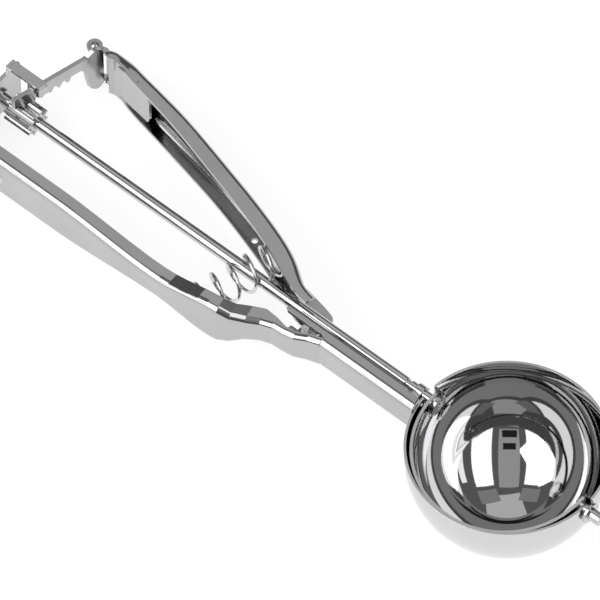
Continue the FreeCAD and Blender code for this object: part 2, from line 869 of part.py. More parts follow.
def make_blade():
    """Curved scraper strip between the bowl's two poles, with a round ear at each pole."""
    ball = Part.makeSphere(blade_outer_radius).cut(Part.makeSphere(blade_inner_radius))
    big = blade_outer_radius + 1
    half = blade_half_width
    strip = ball.common(box(-big, big, -big, 0, -half, half))
    ears = ball.common(shaft(-big, big, half))
    blade = strip.fuse(ears).removeSplitter()
    blade = blade.cut(spindle_rod()).cut(shaft(0, big, spindle_radius))
    blade.rotate(Vector(0, 0, 0), along, blade_rest_dip)
    return blade


def hub_rear_x():
    return -math.sqrt(blade_inner_radius ** 2 - hub_radius ** 2)


def make_blade_hub():
    """Collar that clamps the blade's rear ear on the spindle."""
    start = hub_rear_x()
    collar = shaft(start, start + hub_thickness, hub_radius)
    return collar.cut(spindle_rod())


def make_front_pin():
    """Pivot pin through the blade's front ear and the notch in the bowl's rim, with a head inside."""
    start = math.sqrt(blade_inner_radius ** 2 - front_pin_head_radius ** 2)
    head = shaft(start - front_pin_head_thickness, start, front_pin_head_radius)
    stem = shaft(start, bowl_radius + front_pin_overhang, spindle_radius)
    return head.fuse(stem).removeSplitter()


def make_front_washer():
    """Washer on the pivot pin, outside the bowl."""
    start = bowl_radius + front_washer_gap
    disc = shaft(start, start + front_washer_thickness, front_washer_radius)
    return disc.cut(shaft(0, bowl_radius + 20, spindle_radius))


# The spring's axis leans so that the spindle passes midway between two turns on both sides.
spring_lean = math.atan(spring_pitch / 2 / (2 * spring_mean_radius))
spring_axis = Vector(math.sin(spring_lean), math.cos(spring_lean), 0)
spring_cross = Vector(math.cos(spring_lean), -math.sin(spring_lean), 0)


def spring_limits():
    """Turns, counted from the crossing, at which the open turns end."""
    ramp = spring_ramp_turns * (spring_pitch + spring_end_pitch) / 2
    tail = ramp + spring_end_turns * spring_end_pitch
    first = (spring_handle_end + tail + spring_pitch / 4) / spring_pitch
    last = (spring_lever_end - tail + spring_pitch / 4) / spring_pitch
    return first, last


def spring_height(turn):
    """Distance along the spring's axis at a turn, with closer turns at both ends."""
    first, last = spring_limits()
    inside = min(max(turn, first), last)
    height = -spring_pitch / 4 + inside * spring_pitch
    beyond = turn - inside
    ramp = min(abs(beyond), spring_ramp_turns)
    slope = (spring_end_pitch - spring_pitch) / spring_ramp_turns
    extra = spring_pitch * ramp + slope * ramp * ramp / 2
    extra += max(abs(beyond) - spring_ramp_turns, 0) * spring_end_pitch
    return height + math.copysign(extra, beyond)


def spring_point(turn):
    angle = 2 * math.pi * turn
    around = spring_cross * math.cos(angle) + up * math.sin(angle)
    height = spring_height(turn)
    return Vector(spring_crossing_x, 0, 0) + spring_axis * height + around * spring_mean_radius


def spring_tangent(turn):
    step = 1e-4
    return (spring_point(turn + step) - spring_point(turn - step)).normalize()


def arc_between(start, knee, stop):
    """Arc from start to stop that is tangent to both lines through the knee."""
    chord = (start + stop) * 0.5
    half = start.distanceToPoint(stop) / 2
    rise = knee.distanceToPoint(chord)
    sagitta = half * math.tan(math.atan2(rise, half) / 2)
    middle = chord + (knee - chord).normalize() * sagitta
    return Part.Arc(start, middle, stop).toShape()


def biarc(start, start_tangent, stop, stop_tangent):
    """Two tangent arcs between two points with given directions."""
    gap = stop - start
    total = start_tangent + stop_tangent
    spread = 2 * (1 - start_tangent.dot(stop_tangent))
    mixed = gap.dot(total)
    reach = (math.sqrt(mixed * mixed + spread * gap.dot(gap)) - mixed) / spread
    first_knee = start + start_tangent * reach
    second_knee = stop - stop_tangent * reach
    joint = (first_knee + second_knee) * 0.5
    return [arc_between(start, first_knee, joint), arc_between(joint, second_knee, stop)]


def spring_turns():
    first, last = spring_limits()
    extra = spring_ramp_turns + spring_end_turns
    return first - extra, last + extra


def make_spring():
    """Coil spring as one unbroken tube on biarcs of a quarter turn."""
    begin, end = spring_turns()
    count = math.ceil((end - begin) * 4)
    edges = []
    for i in range(count):
        a = begin + (end - begin) * i / count
        b = begin + (end - begin) * (i + 1) / count
        edges += biarc(spring_point(a), spring_tangent(a), spring_point(b), spring_tangent(b))
    path = Part.Wire(edges)
    circle = Part.Circle(spring_point(begin), spring_tangent(begin), spring_wire / 2)
    return path.makePipeShell([Part.Wire(circle.toShape())], True, False)


def report_spring_gap():
    """Least gap between the spring's own turns and to the spindle, on points."""
    begin, end = spring_turns()
    samples = 60
    count = int((end - begin) * samples)
    points = [spring_point(begin + (end - begin) * i / count) for i in range(count + 1)]
    apart = []
    for i, point in enumerate(points):
        for other in points[i + samples // 2:]:
            apart.append(point.distanceToPoint(other))
    own = min(apart) - spring_wire
    beside = min(math.hypot(p.y, p.z) for p in points) - spring_wire / 2 - spindle_radius
    print("spring: least gap to itself %.2f mm, to the spindle %.2f mm" % (own, beside))


def spring_seat_blank(level, sign):
    """Boss inside one end of the spring, on a disc that runs into the wall behind it."""
    centre = Vector(spring_crossing_x, 0, 0)
    face = centre + spring_axis * (level + sign * spring_wire / 2)
    disc = rod(face, face + spring_axis * sign * seat_backing, seat_radius)
    boss = rod(face, face - spring_axis * sign * seat_boss_height, seat_boss_radius)
    return disc.fuse(boss).removeSplitter()


def make_handle_seat():
    web = handle_web_y + handle_sheet
    room = box(handle_rear_x, neck_seam_x, web, 0, -finger_stop_half_height, finger_stop_half_height)
    pieces = spring_seat_blank(spring_handle_end, -1).common(room).cut(make_main_handle()).Solids
    return max(pieces, key=lambda piece: piece.Volume)


def make_lever_seat():
    pieces = spring_seat_blank(spring_lever_end, 1).cut(lever_shell()).Solids
    return min(pieces, key=lambda piece: piece.CenterOfMass.y)


def resting_tilt():
    """Angle that lays the scoop on its bowl and on the rear bracket's lower edge."""
    rear = bracket_sheet - bracket_wall_x
    reach = math.hypot(rear, bracket_half_height)
    return math.asin(bowl_radius / reach) - math.atan2(bracket_half_height, rear)


def lay_down(solid):
    """Turn a piece into its resting pose and lift it onto the surface, without centring."""
    solid = solid.copy()
    solid.rotate(Vector(0, 0, 0), Vector(0, 1, 0), -math.degrees(resting_tilt()))
    solid.translate(up * bowl_radius)
    return solid


def build_pieces():
    return {
        "scoop_bowl": make_bowl(),
        "neck_channel": make_neck(),
        "front_spindle_bush": make_front_bush(),
        "main_handle": make_main_handle(),
        "rear_bracket": make_rear_bracket(),
        "bracket_rivets": make_bracket_rivets(),
        "rear_spindle_bush": make_rear_bush(),
        "rack_guide": make_rack_guide(),
        "pivot_pin": make_pivot_pin(),
        "spring_seat_handle": make_handle_seat(),
        "return_spring": make_spring(),
        "squeeze_lever": make_lever(),
        "lever_liner": make_lever_liner(),
        "hinge_ear_upper": make_upper_ear(),
        "hinge_ear_lower": make_lower_ear(),
        "spring_seat_lever": make_lever_seat(),
        "rack_pin": make_rack_pin(),
        "rack_pin_washer": make_rack_pin_washer(),
        "rack": make_rack(),
        "spindle": spindle_rod(),
        "pinion": make_pinion(),
        "spindle_end_cap": make_end_cap(),
        "scraper_blade": make_blade(),
        "scraper_hub": make_blade_hub(),
        "front_pivot_pin": make_front_pin(),
        "front_washer": make_front_washer(),
    }


def centre_offset(pieces):
    """Shift that brings the middle of the part's box over the origin."""
    whole = Part.makeCompound(list(pieces)).optimalBoundingBox(False, False)
    return Vector(-whole.Center.x, -whole.Center.y, 0)


def main():
    laid = {name: lay_down(solid) for name, solid in build_pieces().items()}
    offset = centre_offset(laid.values())
    os.makedirs("parts", exist_ok=True)
    for name, solid in laid.items():
        solid.translate(offset)
        solid.exportStep("parts/" + name + ".step")
        facts = (name, len(solid.Solids), solid.Volume, solid.isValid())
        print("%-20s solids %d  volume %9.2f  valid %s" % facts)
    report_spring_gap()
    print("offset %.4f %.4f %.4f" % (offset.x, offset.y, bowl_radius))
    print("tilt %.5f degrees, rack slant %.4f" % (math.degrees(resting_tilt()), math.degrees(rack_slant)))
    print("rack travel %.3f mm, spindle ratio %.5f" % (rack_travel, spindle_ratio))


main()
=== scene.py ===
"""Lever ice cream scoop: steel finishes, spun bowl, return spring and a plain studio."""
import logging
import math
from collections.abc import Callable
from dataclasses import dataclass, field
from enum import Enum

import bmesh
import bpy
from mathutils import Matrix, Vector


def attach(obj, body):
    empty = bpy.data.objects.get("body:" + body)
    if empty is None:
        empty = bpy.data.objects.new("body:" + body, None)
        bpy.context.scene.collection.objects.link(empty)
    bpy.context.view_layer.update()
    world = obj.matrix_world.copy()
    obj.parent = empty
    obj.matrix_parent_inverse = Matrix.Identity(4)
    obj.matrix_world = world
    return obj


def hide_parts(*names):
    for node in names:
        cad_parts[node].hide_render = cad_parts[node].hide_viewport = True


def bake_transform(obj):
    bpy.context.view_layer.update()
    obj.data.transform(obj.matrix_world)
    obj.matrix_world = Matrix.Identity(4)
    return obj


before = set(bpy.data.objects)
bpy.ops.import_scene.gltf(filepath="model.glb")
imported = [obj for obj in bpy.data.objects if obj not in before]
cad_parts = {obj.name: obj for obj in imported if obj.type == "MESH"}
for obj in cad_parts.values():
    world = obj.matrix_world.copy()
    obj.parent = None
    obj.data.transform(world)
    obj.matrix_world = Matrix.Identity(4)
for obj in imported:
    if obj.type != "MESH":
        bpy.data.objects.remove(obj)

log = logging.getLogger("scoop")
MM = 0.001
MERGE_DISTANCE = 1e-6
LEVEL_TOLERANCE = 1e-5


# Place of the scoop

@dataclass(frozen=True)
class Resting:
    """The lie of the scoop, whose spindle is X and whose bowl's centre is the origin before it."""

    tilt: float = math.radians(6.46094)
    shift: tuple[float, float, float] = (84.1621, -0.6523, 31.0)

    def matrix(self) -> Matrix:
        """Turn and shift from the spindle's own millimetres to the row's metres."""
        turn = Matrix.Rotation(-self.tilt, 4, "Y")
        return Matrix.Scale(MM, 4) @ Matrix.Translation(Vector(self.shift)) @ turn

    def point(self, x: float, y: float, z: float) -> Vector:
        """Point in the row frame.

        Args:
            x: Distance along the spindle, in millimetres.
            y: Distance towards the lever, in millimetres.
            z: Height above the spindle, in millimetres.

        Returns:
            The point in metres.
        """
        return self.matrix() @ Vector((x, y, z))

    def direction(self, x: float, y: float, z: float) -> Vector:
        """Unit direction in the row frame."""
        return (self.matrix().to_3x3() @ Vector((x, y, z))).normalized()


RESTING = Resting()


# Modelling by operator

def deselect_all() -> None:
    """Clear the selection, so that an operator acts on its own piece only."""
    if bpy.context.mode != "OBJECT":
        bpy.ops.object.mode_set(mode="OBJECT")
    bpy.ops.object.select_all(action="DESELECT")


def name_new_piece(name: str) -> bpy.types.Object:
    """Name the primitive that was just added."""
    piece = bpy.context.active_object
    piece.name = name
    piece.data.name = name
    return piece


def choose(piece: bpy.types.Object, test: Callable[[Vector], bool], mode: str = "VERT") -> int:
    """Select by place, in edit mode.

    Args:
        piece: Object in edit mode.
        test: Says from a vertex's place, or a face's or an edge's middle, whether it is chosen.
        mode: VERT, EDGE or FACE.

    Returns:
        The number of chosen elements.
    """
    bpy.ops.mesh.select_all(action="DESELECT")
    bpy.ops.mesh.select_mode(type=mode)
    mesh = bmesh.from_edit_mesh(piece.data)
    count = 0
    for element in {"VERT": mesh.verts, "EDGE": mesh.edges, "FACE": mesh.faces}[mode]:
        if mode == "VERT":
            place = element.co
        elif mode == "EDGE":
            place = (element.verts[0].co + element.verts[1].co) / 2
        else:
            place = element.calc_center_median()
        if test(place):
            element.select_set(True)
            count += 1
    bmesh.update_edit_mesh(piece.data)
    return count


def apply_modifier(piece: bpy.types.Object, kind: str, **settings: object) -> None:
    """Add a modifier with these settings and apply it.

    Args:
        piece: Object that gets it.
        kind: Modifier type.
        settings: Its properties by name.
    """
    deselect_all()
    bpy.context.view_layer.objects.active = piece
    piece.select_set(True)
    modifier = piece.modifiers.new(kind.title(), kind)
    for key, value in settings.items():
        setattr(modifier, key, value)
    bpy.ops.object.modifier_apply(modifier=modifier.name)


def bake_place(piece: bpy.types.Object) -> None:
    """Apply the object's place to its mesh."""
    deselect_all()
    bpy.context.view_layer.objects.active = piece
    piece.select_set(True)
    bpy.ops.object.transform_apply(location=True, rotation=True, scale=True)


def outward_normals(piece: bpy.types.Object) -> None:
    """Merge doubles and point the faces outwards."""
    deselect_all()
    bpy.context.view_layer.objects.active = piece
    piece.select_set(True)
    bpy.ops.object.mode_set(mode="EDIT")
    bpy.ops.mesh.select_all(action="SELECT")
    bpy.ops.mesh.remove_doubles(threshold=MERGE_DISTANCE)
    bpy.ops.mesh.normals_make_consistent(inside=False)
    bpy.ops.object.mode_set(mode="OBJECT")


def smooth(piece: bpy.types.Object, degrees: float = 32.0) -> None:
    """Shade a piece smooth, with its corners kept."""
    deselect_all()
    bpy.context.view_layer.objects.active = piece
    piece.select_set(True)
    bpy.ops.object.shade_smooth_by_angle(angle=math.radians(degrees))


# Steel finishes

class Grain(Enum):
    """Way in which the polishing or drawing lines of a steel piece run."""

    ALONG = (0.05, 1.0, 1.0)
    SPUN = (0.0, 0.0, 1.0)
    UPRIGHT = (1.0, 1.0, 0.05)
    EVEN = (1.0, 1.0, 1.0)


@dataclass(frozen=True)
class Steel:
    """Stainless steel finish with polishing lines, faint smears and small scratches."""

    name: str
    colour: tuple[float, float, float]
    roughness: float
    grain: Grain
    line_scale: float = 900.0
    line_depth: float = 0.012
    smear: float = 0.05
    smear_scale: float = 45.0
    scratch: float = 0.10
    edge: float = 0.12
    angle: float = 0.0
    line_noise: tuple[float, float] = (4.0, 0.65)
    smear_noise: tuple[float, float] = (3.0, 0.55)
    stroke_noise: tuple[float, float] = (2.0, 0.5)
    stroke_scale: float = 620.0
    stroke_stretch: tuple[float, float, float] = (1.0, 0.12, 1.0)
    stroke_turn: float = math.radians(34)
    fine_limits: tuple[float, float] = (0.66, 0.74)
    tone_limits: tuple[float, float] = (0.30, 0.72)
    streak_spread: tuple[float, float, float, float] = (0.3, 0.7, 0.82, 1.24)
    haze_spread: tuple[float, float, float, float] = (0.3, 0.75, 0.85, 1.35)
    edge_samples: int = 4
    bump_strength: float = 0.35

    def material(self) -> bpy.types.Material:
        """Build the node material.

        Returns:
            A material on Object coordinates, laid along the spindle.
        """
        material = bpy.data.materials.new(self.name)
        material.use_nodes = True
        tree = material.node_tree
        shader = tree.nodes["Principled BSDF"]
        shader.inputs["Metallic"].default_value = 1.0
        place = tree.nodes.new("ShaderNodeTexCoord")
        lines = self._mapped(tree, place, self.grain.value)
        even = self._mapped(tree, place, Grain.EVEN.value)
        strokes = self._mapped(tree, place, self.stroke_stretch, self.stroke_turn)
        line = self._noise(tree, lines, self.line_scale, *self.line_noise)
        smear = self._noise(tree, even, self.smear_scale, *self.smear_noise)
        stroke = self._noise(tree, strokes, self.stroke_scale, *self.stroke_noise)
        fine = self._ramp(tree, stroke, *self.fine_limits)
        tone = self._ramp(tree, smear, *self.tone_limits)
        light = tuple(min(1.0, value * (1 + self.smear)) for value in self.colour)
        dark = tuple(value * (1 - self.smear) for value in self.colour)
        paint = tree.nodes.new("ShaderNodeMix")
        paint.data_type = "RGBA"
        paint.inputs["A"].default_value = (*dark, 1.0)
        paint.inputs["B"].default_value = (*light, 1.0)
        tree.links.new(tone.outputs["Color"], paint.inputs["Factor"])
        tree.links.new(paint.outputs["Result"], shader.inputs["Base Color"])
        streak = self._range(tree, line.outputs["Fac"], *self.streak_spread)
        haze = self._range(tree, smear.outputs["Fac"], *self.haze_spread)
        rough = self._math(tree, "MULTIPLY", streak, haze)
        rough = self._math(tree, "MULTIPLY", rough, None, self.roughness)
        worn = self._range(tree, fine.outputs["Color"], 0.0, 1.0, 0.0, self.scratch)
        rough = self._math(tree, "ADD", rough, worn)
        tree.links.new(rough, shader.inputs["Roughness"])
        rounded = tree.nodes.new("ShaderNodeBevel")
        rounded.samples = self.edge_samples
        rounded.inputs["Radius"].default_value = self.edge * MM
        bump = tree.nodes.new("ShaderNodeBump")
        bump.inputs["Strength"].default_value = self.bump_strength
        bump.inputs["Distance"].default_value = self.line_depth * MM
        tree.links.new(line.outputs["Fac"], bump.inputs["Height"])
        tree.links.new(rounded.outputs["Normal"], bump.inputs["Normal"])
        tree.links.new(bump.outputs["Normal"], shader.inputs["Normal"])
        return material

    def _mapped(
        self,
        tree: bpy.types.NodeTree,
        place: bpy.types.Node,
        scale: tuple[float, float, float],
        turn: float = 0.0,
    ) -> bpy.types.NodeSocket:
        """Object coordinates from the bowl's centre, laid along the spindle and stretched."""
        centred = tree.nodes.new("ShaderNodeMapping")
        centred.vector_type = "TEXTURE"
        centred.inputs["Location"].default_value = RESTING.point(0, 0, 0)
        centred.inputs["Rotation"].default_value = (0.0, -RESTING.tilt, self.angle)
        stretched = tree.nodes.new("ShaderNodeMapping")
        stretched.inputs["Scale"].default_value = scale
        stretched.inputs["Rotation"].default_value = (0.0, 0.0, turn)
        tree.links.new(place.outputs["Object"], centred.inputs["Vector"])
        tree.links.new(centred.outputs["Vector"], stretched.inputs["Vector"])
        return stretched.outputs["Vector"]

    @staticmethod
    def _noise(
        tree: bpy.types.NodeTree,
        vector: bpy.types.NodeSocket,
        scale: float,
        detail: float,
        rough: float,
    ) -> bpy.types.Node:
        """Noise texture on mapped coordinates."""
        noise = tree.nodes.new("ShaderNodeTexNoise")
        noise.inputs["Scale"].default_value = scale
        noise.inputs["Detail"].default_value = detail
        noise.inputs["Roughness"].default_value = rough
        tree.links.new(vector, noise.inputs["Vector"])
        return noise

    @staticmethod
    def _ramp(
        tree: bpy.types.NodeTree, source: bpy.types.Node, low: float, high: float
    ) -> bpy.types.Node:
        """Black below low, white above high."""
        ramp = tree.nodes.new("ShaderNodeValToRGB")
        ramp.color_ramp.elements[0].position = low
        ramp.color_ramp.elements[1].position = high
        tree.links.new(source.outputs["Fac"], ramp.inputs["Fac"])
        return ramp

    @staticmethod
    def _range(
        tree: bpy.types.NodeTree,
        source: bpy.types.NodeSocket,
        low: float,
        high: float,
        to_low: float,
        to_high: float,
    ) -> bpy.types.NodeSocket:
        """Values from low to high, spread over to_low to to_high."""
        node = tree.nodes.new("ShaderNodeMapRange")
        keys = ("From Min", "From Max", "To Min", "To Max")
        for key, value in zip(keys, (low, high, to_low, to_high)):
            node.inputs[key].default_value = value
        tree.links.new(source, node.inputs["Value"])
        return node.outputs["Result"]

    @staticmethod
    def _math(
        tree: bpy.types.NodeTree,
        operation: str,
        first: bpy.types.NodeSocket,
        second: bpy.types.NodeSocket | None,
        value: float = 0.0,
    ) -> bpy.types.NodeSocket:
        """One sum of two patterns, or of a pattern and a value."""
        node = tree.nodes.new("ShaderNodeMath")
        node.operation = operation
        tree.links.new(first, node.inputs[0])
        if second is None:
            node.inputs[1].default_value = value
        else:
            tree.links.new(second, node.inputs[1])
        return node.outputs[0]


def dress(nodes: tuple[str, ...], finish: Steel) -> None:
    """Give CAD nodes a finish.

    Args:
        nodes: Names of the nodes.
        finish: Finish for all of them.
    """
    material = finish.material()
    for name in nodes:
        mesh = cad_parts[name].data
        mesh.materials.clear()
        mesh.materials.append(material)
        log.info("%s dressed in %s", name, finish.name)


# Bowl

@dataclass
class Bowl:
    """Spun hemispherical bowl with a short upright band and two notches in its rim."""

    radius: float = 31.0
    wall: float = 0.8
    band: float = 4.0
    rear_notch: float = 5.6
    front_notch: float = 4.1
    rim_round: float = 0.16
    rim_segments: int = 3
    rim_angle: float = math.radians(50)
    smooth_degrees: float = 30.0
    segments: int = 192
    rings: int = 96
    band_steps: int = 4
    notch_sides: int = 48
    notch_depth: float = 8.0
    notch_lift: float = 0.5
    notch_lifted_from: float = 0.4
    notch_past_rim: float = 1.0
    finish: Steel = field(
        default_factory=lambda: Steel(
            "mirror_spun_bowl", (0.60, 0.60, 0.605),
            0.035, Grain.SPUN, 1500.0, 0.004, 0.03, 30.0, 0.05, 0.10
        )
    )
    blade_finish: Steel = field(
        default_factory=lambda: Steel(
            "polished_blade", (0.62, 0.62, 0.625),
            0.07, Grain.ALONG, 1100.0, 0.008, 0.05, 60.0, 0.08, 0.12
        )
    )
    hub_finish: Steel = field(
        default_factory=lambda: Steel(
            "turned_hub", (0.55, 0.55, 0.555),
            0.16, Grain.SPUN, 2600.0, 0.02, 0.08, 220.0, 0.10, 0.15
        )
    )

    def build(self) -> None:
        """Model the bowl and dress the scraper."""
        shell = self._shell()
        self._cut_notch(shell, -self.radius, self.rear_notch)
        self._cut_notch(shell, self.radius, self.front_notch)
        apply_modifier(
            shell,
            "BEVEL",
            width=self.rim_round * MM,
            segments=self.rim_segments,
            limit_method="ANGLE",
            angle_limit=self.rim_angle,
        )
        smooth(shell, self.smooth_degrees)
        shell.data.materials.clear()
        shell.data.materials.append(self.finish.material())
        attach(shell, "frame")
        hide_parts("scoop_bowl")
        log.info("spun_bowl: %d faces", len(shell.data.polygons))
        dress(("scraper_blade",), self.blade_finish)
        dress(("scraper_hub", "front_pivot_pin", "front_washer"), self.hub_finish)

    def _shell(self) -> bpy.types.Object:
        """Half ball with its band drawn up and its wall inside."""
        deselect_all()
        bpy.ops.mesh.primitive_uv_sphere_add(
            segments=self.segments,
            ring_count=self.rings,
            radius=self.radius * MM,
            location=RESTING.point(0, 0, 0),
            rotation=(0.0, -RESTING.tilt, 0.0),
        )
        shell = name_new_piece("spun_bowl")
        bake_place(shell)
        bpy.ops.object.mode_set(mode="EDIT")
        centre = RESTING.point(0, 0, 0)
        upward = RESTING.direction(0, 0, 1)
        choose(shell, lambda place: (place - centre).dot(upward) > LEVEL_TOLERANCE)
        bpy.ops.mesh.delete(type="VERT")
        move = upward * (self.band * MM / self.band_steps)
        for step in range(self.band_steps):
            level = self.band * MM * step / self.band_steps
            choose(shell, lambda place: abs((place - centre).dot(upward) - level) < LEVEL_TOLERANCE)
            bpy.ops.mesh.extrude_edges_move(TRANSFORM_OT_translate={"value": move})
        bpy.ops.object.mode_set(mode="OBJECT")
        outward_normals(shell)
        apply_modifier(
            shell,
            "SOLIDIFY",
            thickness=self.wall * MM,
            offset=-1.0,
            use_even_offset=True,
            use_quality_normals=True,
        )
        return shell

    def _cut_notch(self, shell: bpy.types.Object, x: float, width: float) -> None:
        """Cut one notch: a slot from the rim down to a half round about the spindle's axis.

        Args:
            shell: The bowl.
            x: Where the notch is along the spindle, in millimetres.
            width: Its width, in millimetres.
        """
        deselect_all()
        quarter = math.pi / 2
        bpy.ops.mesh.primitive_cylinder_add(
            vertices=self.notch_sides,
            radius=width / 2 * MM,
            depth=self.notch_depth * MM,
            location=RESTING.point(x, 0, 0),
            rotation=(0.0, quarter - RESTING.tilt, 0.0),
        )
        cutter = name_new_piece("notch_cutter")
        bake_place(cutter)
        bpy.ops.object.mode_set(mode="EDIT")
        centre = RESTING.point(x, 0, 0)
        upward = RESTING.direction(0, 0, 1)
        choose(cutter, lambda place: (place - centre).dot(upward) > -MERGE_DISTANCE)
        bpy.ops.transform.translate(value=upward * self.notch_lift * MM)
        choose(cutter, lambda place: (place - centre).dot(upward) > self.notch_lifted_from * MM)
        bpy.ops.transform.translate(value=upward * (self.band + self.notch_past_rim) * MM)
        bpy.ops.object.mode_set(mode="OBJECT")
        apply_modifier(shell, "BOOLEAN", operation="DIFFERENCE", object=cutter, solver="EXACT")
        bpy.data.objects.remove(cutter, do_unlink=True)


# Return spring

@dataclass
class Spring:
    """Coil spring between the fixed handle and the lever, with closer turns at its ends."""

    wire: float = 1.2
    mean_radius: float = 5.4
    pitch: float = 6.0
    end_pitch: float = 1.75
    ramp_turns: float = 0.5
    end_turns: float = 0.75
    crossing: float = -101.0
    handle_end: float = -20.1
    lever_end: float = 9.4
    blend_from: float = 2.4
    steps: int = 40
    wire_rings: int = 6
    smooth_degrees: float = 50.0
    finish: Steel = field(
        default_factory=lambda: Steel(
            "drawn_spring_wire", (0.66, 0.66, 0.665),
            0.10, Grain.EVEN, 900.0, 0.006, 0.08, 160.0, 0.06, 0.0
        )
    )

    def lean(self) -> float:
        """Angle between the spring's axis and the handle's cross direction."""
        return math.atan(self.pitch / 2 / (2 * self.mean_radius))

    def limits(self) -> tuple[float, float]:
        """Turns, counted from the spindle, between which the coil is open."""
        ramp = self.ramp_turns * (self.pitch + self.end_pitch) / 2
        tail = ramp + self.end_turns * self.end_pitch
        first = (self.handle_end + tail + self.pitch / 4) / self.pitch
        last = (self.lever_end - tail + self.pitch / 4) / self.pitch
        return first, last

    def height(self, turn: float) -> float:
        """Distance along the spring's axis at a turn, in millimetres."""
        first, last = self.limits()
        inside = min(max(turn, first), last)
        beyond = turn - inside
        ramp = min(abs(beyond), self.ramp_turns)
        slope = (self.end_pitch - self.pitch) / self.ramp_turns
        extra = self.pitch * ramp + slope * ramp * ramp / 2
        extra += max(abs(beyond) - self.ramp_turns, 0) * self.end_pitch
        return inside * self.pitch - self.pitch / 4 + math.copysign(extra, beyond)

    def wire_point(self, turn: float) -> Vector:
        """Middle of the wire at a turn, in the row frame."""
        lean = self.lean()
        angle = 2 * math.pi * turn
        across = self.mean_radius * math.cos(angle)
        height = self.height(turn)
        return RESTING.point(
            self.crossing + height * math.sin(lean) + across * math.cos(lean),
            height * math.cos(lean) - across * math.sin(lean),
            self.mean_radius * math.sin(angle),
        )

    def build(self) -> None:
        """Wind the wire between the handle and the lever and close its ends."""
        first, last = self.limits()
        extra = self.ramp_turns + self.end_turns
        begin, end = first - extra, last + extra
        count = int((end - begin) * self.steps)
        deselect_all()
        bpy.ops.curve.primitive_nurbs_path_add(enter_editmode=False, location=(0, 0, 0))
        coil = name_new_piece("coil_spring")
        curve = coil.data
        curve.splines.clear()
        spline = curve.splines.new("POLY")
        spline.points.add(count)
        for i, point in enumerate(spline.points):
            point.co = (*self.wire_point(begin + (end - begin) * i / count), 1.0)
        curve.bevel_depth = self.wire / 2 * MM
        curve.bevel_resolution = self.wire_rings
        curve.use_fill_caps = True
        curve.twist_mode = "MINIMUM"
        bpy.ops.object.convert(target="MESH")
        coil = bpy.context.active_object
        outward_normals(coil)
        smooth(coil, self.smooth_degrees)
        coil.data.materials.clear()
        coil.data.materials.append(self.finish.material())
        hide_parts("return_spring")
        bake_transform(coil)
        log.info("coil_spring: %.2f turns, %d faces", end - begin, len(coil.data.polygons))


# Handles

@dataclass
class Handles:
    """Neck, fixed handle, lever and the pieces that join them."""

    handle_finish: Steel = field(
        default_factory=lambda: Steel(
            "polished_handle_sheet", (0.47, 0.47, 0.475),
            0.075, Grain.ALONG, 800.0, 0.010, 0.05, 40.0, 0.07, 0.16
        )
    )
    lever_finish: Steel = field(
        default_factory=lambda: Steel(
            "polished_lever_sheet",
            (0.47, 0.47, 0.475),
            0.11,
            Grain.ALONG,
            850.0,
            0.012,
            0.06,
            55.0,
            0.09,
            0.16,
            math.radians(-16),
        )
    )
    ear_finish: Steel = field(
        default_factory=lambda: Steel(
            "pressed_ear", (0.44, 0.44, 0.445),
            0.17, Grain.EVEN, 1200.0, 0.014, 0.09, 120.0, 0.12, 0.14
        )
    )
    pin_finish: Steel = field(
        default_factory=lambda: Steel(
            "riveted_pin", (0.60, 0.60, 0.605),
            0.14, Grain.EVEN, 2400.0, 0.018, 0.10, 260.0, 0.12, 0.12
        )
    )

    def build(self) -> None:
        """Dress the handles."""
        dress(("neck_channel", "main_handle"), self.handle_finish)
        dress(("squeeze_lever", "lever_liner"), self.lever_finish)
        dress(("hinge_ear_upper", "hinge_ear_lower"), self.ear_finish)
        dress(("pivot_pin", "spring_seat_handle", "spring_seat_lever", "bracket_rivets"), self.pin_finish)


# Drive

@dataclass
class Drive:
    """Spindle with its bearings, pinion and rack."""

    spindle_finish: Steel = field(
        default_factory=lambda: Steel(
            "drawn_spindle", (0.60, 0.60, 0.605),
            0.09, Grain.ALONG, 2600.0, 0.020, 0.05, 90.0, 0.08, 0.08
        )
    )
    gear_finish: Steel = field(
        default_factory=lambda: Steel(
            "cut_gear", (0.50, 0.50, 0.505),
            0.15, Grain.ALONG, 2200.0, 0.020, 0.10, 300.0, 0.10, 0.08
        )
    )
    rack_finish: Steel = field(
        default_factory=lambda: Steel(
            "stamped_rack", (0.46, 0.46, 0.465),
            0.20, Grain.UPRIGHT, 1700.0, 0.020, 0.10, 150.0, 0.14, 0.10
        )
    )
    bracket_finish: Steel = field(
        default_factory=lambda: Steel(
            "tumbled_bracket", (0.52, 0.52, 0.525),
            0.18, Grain.EVEN, 1500.0, 0.016, 0.08, 110.0, 0.12, 0.16
        )
    )
    bush_finish: Steel = field(
        default_factory=lambda: Steel(
            "turned_bush", (0.55, 0.55, 0.555),
            0.13, Grain.UPRIGHT, 2400.0, 0.018, 0.08, 220.0, 0.10, 0.12
        )
    )

    def build(self) -> None:
        """Dress the drive."""
        dress(("spindle",), self.spindle_finish)
        dress(("pinion",), self.gear_finish)
        dress(("rack", "rack_pin", "rack_pin_washer"), self.rack_finish)
        dress(("rear_bracket", "rack_guide"), self.bracket_finish)
        dress(("front_spindle_bush", "rear_spindle_bush", "spindle_end_cap"), self.bush_finish)


# Studio

@dataclass(frozen=True)
class Card:
    """Flat panel that the steel mirrors but the camera doesn't see."""

    name: str
    place: tuple[float, float, float]
    size: tuple[float, float]
    grey: float

    def matrix(self, upright: Vector) -> Matrix:
        """Place that faces the scoop, with the card's height along the given upright."""
        facing = Vector(self.place).normalized()
        right = upright.cross(facing).normalized()
        turn = Matrix((right, facing.cross(right), facing)).transposed()
        return Matrix.Translation(Vector(self.place)) @ turn.to_4x4()


